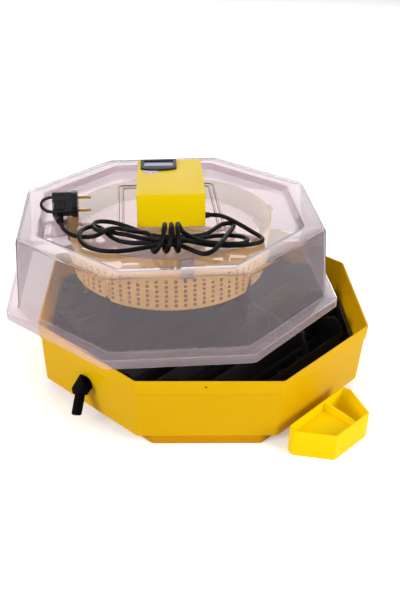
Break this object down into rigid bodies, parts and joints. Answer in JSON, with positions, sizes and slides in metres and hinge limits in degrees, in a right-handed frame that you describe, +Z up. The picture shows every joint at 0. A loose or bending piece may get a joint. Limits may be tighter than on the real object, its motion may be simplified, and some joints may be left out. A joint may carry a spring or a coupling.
{
  "type": "egg incubator",
  "caption": "Eight-sided table-top egg incubator: amber tub with lever-turned black egg racks, filling cup, clear domed lid with slotted drum heater, control box, cord and plug.",
  "frame": {"origin": "middle of the tub's flat underside, on the table", "axes": "+Z up; the tub's front flat faces -Y; the lid stands ajar, moved towards -X and +Y; the turning lever is on the wall between -X and -Y, the filling cup on the wall between +X and -Y"},
  "size_m": [0.5359, 0.5499, 0.2736],
  "materials": {
    "tub_amber": "amber-yellow moulded plastic, smooth",
    "cup_yellow": "bright yellow moulded plastic, smooth",
    "box_yellow": "bright yellow moulded plastic, smooth",
    "rack_black": "black, satin",
    "bush_dark": "black, satin",
    "lid_clear": "clear vacuum-formed sheet, glossy, faint pink tint",
    "basket_cream": "cream, satin",
    "clip_grey": "grey-lilac, satin",
    "post_ceramic": "off-white, matt",
    "element_steel": "heat-darkened",
    "plate_white": "cream-white painted sheet, satin",
    "probe_steel": "smooth",
    "screw_steel": "zinc plated",
    "bezel_navy": "dark navy, smooth",
    "screen_grey": "grey display cover, smooth",
    "module_black": "black, matt",
    "pad_lilac": "pale lilac label",
    "key_lilac": "lilac-grey, matt",
    "board_green": "green board",
    "cord_black": "black, satin",
    "plug_black": "black, satin",
    "pin_brass": "bright"
  },
  "bodies": {
    "tub": {"base_tub": "tub_amber", "rack_frame": "rack_black", "frame_screws": "screw_steel", "lever_bush": "bush_dark"},
    "lid": {"lid_shell": "lid_clear", "heater_basket": "basket_cream", "basket_clips": "clip_grey", "element_posts": "post_ceramic", "heating_element": "element_steel", "reflector_plate": "plate_white", "temperature_probe": "probe_steel", "control_housing": "box_yellow", "control_base": "box_yellow", "control_screws": "screw_steel", "screen_bezel": "bezel_navy", "screen_glass": "screen_grey", "screen_module": "module_black", "key_pad": "pad_lilac", "circuit_board": "board_green", "board_parts": "module_black", "cable_gland": "cord_black", "cord_lead": "cord_black", "cord_hank": "cord_black", "cord_tail": "cord_black", "plug_body": "plug_black", "plug_boot": "plug_black", "plug_pins": "pin_brass", "plug_loop": "plug_black"},
    "cup": {"filler_cup": "cup_yellow"},
    "turning_rack": {"egg_rack_4": "rack_black", "lever_shaft": "rack_black", "lever_hub": "rack_black", "lever_handle": "rack_black"},
    "rack_1": {"egg_rack_1": "rack_black"},
    "rack_2": {"egg_rack_2": "rack_black"},
    "rack_3": {"egg_rack_3": "rack_black"},
    "rack_5": {"egg_rack_5": "rack_black"},
    "rack_6": {"egg_rack_6": "rack_black"},
    "rack_7": {"egg_rack_7": "rack_black"},
    "link": {"link_bar": "rack_black"},
    "less_button": {"key_less": "key_lilac"},
    "more_button": {"key_more": "key_lilac"}
  },
  "joints": [
    {"name": "lid_lift", "type": "slide", "parent": "tub", "child": "lid", "axis": [0, 0, 1], "range_m": [0, 0.25]},
    {"name": "cup_pull", "type": "slide", "parent": "tub", "child": "cup", "axis": [0.7071, -0.7071, 0], "range_m": [0, 0.05]},
    {"name": "lever_turn", "type": "hinge", "parent": "tub", "child": "turning_rack", "pos_m": [0, 0, 0.055], "axis": [0.7071, 0.7071, 0], "range_deg": [0, 58]},
    {"name": "rack_1_turn", "type": "hinge", "parent": "tub", "child": "rack_1", "pos_m": [-0.11879, 0.11879, 0.055], "axis": [0.7071, 0.7071, 0], "range_deg": [0, 58]},
    {"name": "rack_2_turn", "type": "hinge", "parent": "tub", "child": "rack_2", "pos_m": [-0.0792, 0.0792, 0.055], "axis": [0.7071, 0.7071, 0], "range_deg": [0, 58]},
    {"name": "rack_3_turn", "type": "hinge", "parent": "tub", "child": "rack_3", "pos_m": [-0.0396, 0.0396, 0.055], "axis": [0.7071, 0.7071, 0], "range_deg": [0, 58]},
    {"name": "rack_5_turn", "type": "hinge", "parent": "tub", "child": "rack_5", "pos_m": [0.0396, -0.0396, 0.055], "axis": [0.7071, 0.7071, 0], "range_deg": [0, 58]},
    {"name": "rack_6_turn", "type": "hinge", "parent": "tub", "child": "rack_6", "pos_m": [0.0792, -0.0792, 0.055], "axis": [0.7071, 0.7071, 0], "range_deg": [0, 58]},
    {"name": "rack_7_turn", "type": "hinge", "parent": "tub", "child": "rack_7", "pos_m": [0.11879, -0.11879, 0.055], "axis": [0.7071, 0.7071, 0], "range_deg": [0, 58]},
    {"name": "link_sway", "type": "hinge", "parent": "turning_rack", "child": "link", "pos_m": [-0.00823, 0.00823, 0.07599], "axis": [0.7071, 0.7071, 0], "range_deg": [-58, 0]},
    {"name": "less_press", "type": "slide", "parent": "lid", "child": "less_button", "axis": [0.0281, -0.0139, -0.9995], "range_m": [0, 0.0008], "stiffness_N_per_m": 300, "springref_m": -0.001},
    {"name": "more_press", "type": "slide", "parent": "lid", "child": "more_button", "axis": [0.0281, -0.0139, -0.9995], "range_m": [0, 0.0008], "stiffness_N_per_m": 300, "springref_m": -0.001}
  ],
  "couplings": [
    {"joint": "rack_1_turn", "follows": "lever_turn", "ratio": 1},
    {"joint": "rack_2_turn", "follows": "lever_turn", "ratio": 1},
    {"joint": "rack_3_turn", "follows": "lever_turn", "ratio": 1},
    {"joint": "rack_5_turn", "follows": "lever_turn", "ratio": 1},
    {"joint": "rack_6_turn", "follows": "lever_turn", "ratio": 1},
    {"joint": "rack_7_turn", "follows": "lever_turn", "ratio": 1},
    {"joint": "link_sway", "follows": "lever_turn", "ratio": -1}
  ]
}
